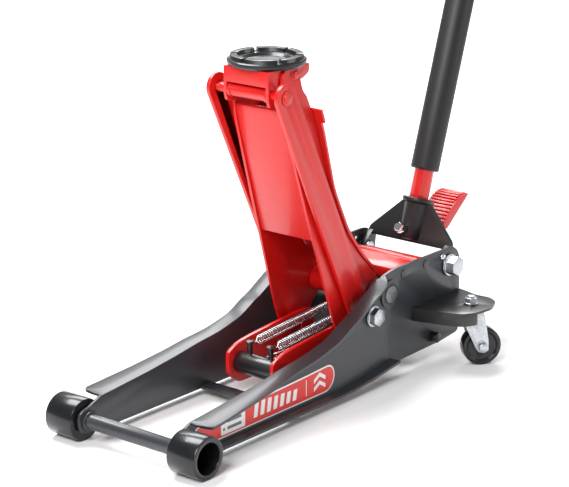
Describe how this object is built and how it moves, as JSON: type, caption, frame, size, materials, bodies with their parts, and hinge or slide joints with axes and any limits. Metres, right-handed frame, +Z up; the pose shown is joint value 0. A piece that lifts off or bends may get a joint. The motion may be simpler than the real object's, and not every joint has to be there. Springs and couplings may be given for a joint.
{
  "type": "hydraulic floor jack",
  "caption": "Low-profile hydraulic trolley jack, shown raised: pressed side plates on rollers and castors, lift arm with levelled turning saddle, pump handle, foot pedal",
  "frame": {"origin": "middle of the footprint of the overall box, on the floor that the wheels stand on", "axes": "+X from the front rollers towards the handle, +Y across to the operator's right, +Z up"},
  "size_m": [0.98, 0.351, 1.0867],
  "materials": {
    "red_paint": "gloss red enamel",
    "grey_powder_coat": "satin dark grey powder coat",
    "black_paint": "satin black paint",
    "cast_iron": "cast, lightly oiled",
    "zinc_plate": "bright zinc plate",
    "chrome_plate": "polished chrome",
    "wheel_steel": "dark satin steel",
    "foam_rubber": "matt black closed-cell foam"
  },
  "bodies": {
    "chassis": {"side_plate_left": "grey_powder_coat", "side_plate_right": "grey_powder_coat", "front_axle": "grey_powder_coat", "roller_nut_left": "zinc_plate", "roller_nut_right": "zinc_plate", "cross_bar": "grey_powder_coat", "rear_tie_rod": "black_paint", "top_cover": "red_paint", "cover_bolt_left": "chrome_plate", "cover_bolt_right": "chrome_plate", "main_pivot_shaft": "zinc_plate", "link_bolt_left": "zinc_plate", "link_bolt_right": "zinc_plate", "yoke_bolt_left": "black_paint", "yoke_bolt_right": "black_paint", "ram_cylinder": "black_paint", "oil_reservoir": "grey_powder_coat", "pump_block": "cast_iron", "filler_plug": "zinc_plate", "return_spring_left": "zinc_plate", "return_spring_right": "zinc_plate", "castor_bracket_left": "black_paint", "castor_bracket_right": "black_paint", "castor_bolt_left": "zinc_plate", "castor_bolt_right": "zinc_plate"},
    "roller_left": {"front_roller_left": "cast_iron"},
    "roller_right": {"front_roller_right": "cast_iron"},
    "castor_left": {"castor_fork_left": "zinc_plate", "castor_axle_left": "zinc_plate"},
    "castor_right": {"castor_fork_right": "zinc_plate", "castor_axle_right": "zinc_plate"},
    "castor_roll_left": {"castor_wheel_left": "wheel_steel"},
    "castor_roll_right": {"castor_wheel_right": "wheel_steel"},
    "lift_arm": {"arm_plate_left": "red_paint", "arm_plate_right": "red_paint", "arm_web": "red_paint", "arm_rear_cover": "red_paint", "arm_hub": "red_paint", "saddle_pin_left": "chrome_plate", "saddle_pin_right": "chrome_plate"},
    "levelling_links": {"levelling_link_left": "red_paint", "levelling_link_right": "red_paint"},
    "saddle_carrier": {"saddle_bracket": "red_paint", "cross_sleeve": "red_paint", "link_pin": "chrome_plate"},
    "saddle_head": {"saddle": "cast_iron"},
    "crosshead": {"crosshead_shaft": "black_paint", "draw_plate_left": "red_paint", "draw_plate_right": "red_paint", "piston_rod": "chrome_plate"},
    "handle_socket": {"handle_yoke": "black_paint", "pump_roller_pin": "zinc_plate", "locking_screw": "chrome_plate"},
    "handle": {"handle_tube": "red_paint", "foam_sleeve": "foam_rubber", "handle_grip": "foam_rubber"},
    "pedal": {"foot_pedal": "red_paint"},
    "plunger": {"pump_plunger": "chrome_plate"},
    "release_valve": {"release_valve_stem": "zinc_plate"}
  },
  "joints": [
    {"name": "roller_spin_left", "type": "hinge", "parent": "chassis", "child": "roller_left", "pos_m": [-0.46049, -0.11, 0.03], "axis": [0, 1, 0], "continuous": true},
    {"name": "castor_swivel_left", "type": "hinge", "parent": "chassis", "child": "castor_left", "pos_m": [0.12851, -0.14, 0.085], "axis": [0, 0, 1], "continuous": true},
    {"name": "castor_spin_left", "type": "hinge", "parent": "castor_left", "child": "castor_roll_left", "pos_m": [0.14151, -0.15001, 0.0295], "axis": [0.6101, 0.7923, 0], "continuous": true},
    {"name": "roller_spin_right", "type": "hinge", "parent": "chassis", "child": "roller_right", "pos_m": [-0.46049, 0.11, 0.03], "axis": [0, 1, 0], "continuous": true},
    {"name": "castor_swivel_right", "type": "hinge", "parent": "chassis", "child": "castor_right", "pos_m": [0.12851, 0.14, 0.085], "axis": [0, 0, 1], "continuous": true},
    {"name": "castor_spin_right", "type": "hinge", "parent": "castor_right", "child": "castor_roll_right", "pos_m": [0.14151, 0.15001, 0.0295], "axis": [-0.6101, 0.7923, 0], "continuous": true},
    {"name": "arm_lower", "type": "hinge", "parent": "chassis", "child": "lift_arm", "pos_m": [-0.00049, 0, 0.1305], "axis": [0, -1, 0], "range_deg": [0, 74.3]},
    {"name": "link_swing", "type": "hinge", "parent": "chassis", "child": "levelling_links", "pos_m": [-0.03999, 0, 0.1069], "axis": [0, -1, 0], "range_deg": [-0.5, 74.8]},
    {"name": "saddle_level", "type": "hinge", "parent": "lift_arm", "child": "saddle_carrier", "pos_m": [-0.17267, 0, 0.48043], "axis": [0, -1, 0], "range_deg": [-74.8, 0.5]},
    {"name": "saddle_turn", "type": "hinge", "parent": "saddle_carrier", "child": "saddle_head", "pos_m": [-0.17809, 0, 0.495], "axis": [0, 0, 1], "continuous": true},
    {"name": "crosshead_slide", "type": "slide", "parent": "chassis", "child": "crosshead", "axis": [1, 0, 0], "range_m": [-0.001, 0.0925], "deforming": ["return_spring_left", "return_spring_right"]},
    {"name": "handle_pump", "type": "hinge", "parent": "chassis", "child": "handle_socket", "pos_m": [0.14951, 0, 0.14], "axis": [0, 1, 0], "range_deg": [-8, 50]},
    {"name": "handle_twist", "type": "hinge", "parent": "handle_socket", "child": "handle", "pos_m": [0.18451, 0, 0.222], "axis": [0.3173, 0, 0.9483], "range_deg": [0, 180]},
    {"name": "pedal_press", "type": "hinge", "parent": "handle_socket", "child": "pedal", "pos_m": [0.1946, 0, 0.16077], "axis": [0, 1, 0], "range_deg": [0, 12], "stiffness_Nm_per_rad": 20, "springref_deg": -5.73},
    {"name": "plunger_slide", "type": "slide", "parent": "chassis", "child": "plunger", "axis": [-1, 0, 0], "range_m": [-0.0045, 0.0235]},
    {"name": "release_valve_turn", "type": "hinge", "parent": "chassis", "child": "release_valve", "pos_m": [0.10951, 0, 0.062], "axis": [-1, 0, 0], "range_deg": [-1, 181]}
  ],
  "couplings": [
    {"joint": "link_swing", "follows": "arm_lower", "ratio": 1},
    {"joint": "saddle_level", "follows": "arm_lower", "ratio": -1},
    {"joint": "crosshead_slide", "follows": "arm_lower", "m_per_rad": 0.070714},
    {"joint": "plunger_slide", "follows": "handle_pump", "m_per_rad": 0.024523},
    {"joint": "release_valve_turn", "follows": "handle_twist", "ratio": 1}
  ]
}
